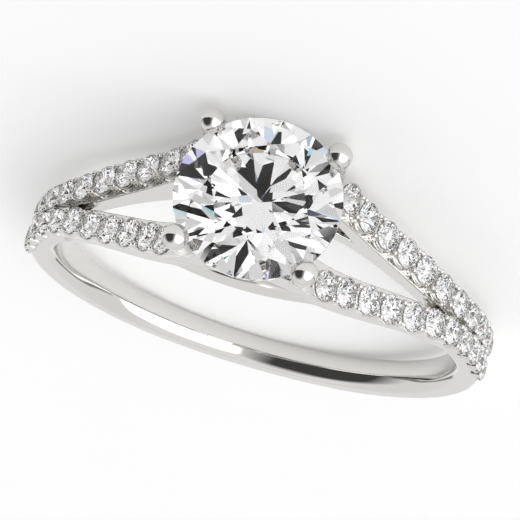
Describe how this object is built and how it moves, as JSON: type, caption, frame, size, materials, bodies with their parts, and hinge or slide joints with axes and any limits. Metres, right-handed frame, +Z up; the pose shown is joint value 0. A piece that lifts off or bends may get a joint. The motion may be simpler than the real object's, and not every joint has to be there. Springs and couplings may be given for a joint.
{
  "type": "multi-row engagement ring",
  "caption": "Ring whose shank splits at each shoulder into rails set with small brilliants, with a round brilliant held in prongs over the finger hole.",
  "frame": {"origin": "centre of the part's box in plan, on the surface that the ring lies on", "axes": "+X from the right shoulder to the left one as the picture shows them, +Y from the centre stone to the foot of the shank, +Z up from the surface, close to the finger hole's axis"},
  "size_m": [0.0202, 0.0244, 0.0061],
  "materials": {
    "white_gold": "polished",
    "diamond": "polished"
  },
  "bodies": {
    "root": {"mounting": "white_gold", "centre_stone": "diamond", "pave_stones_left": "diamond", "pave_stones_right": "diamond"}
  },
  "joints": []
}
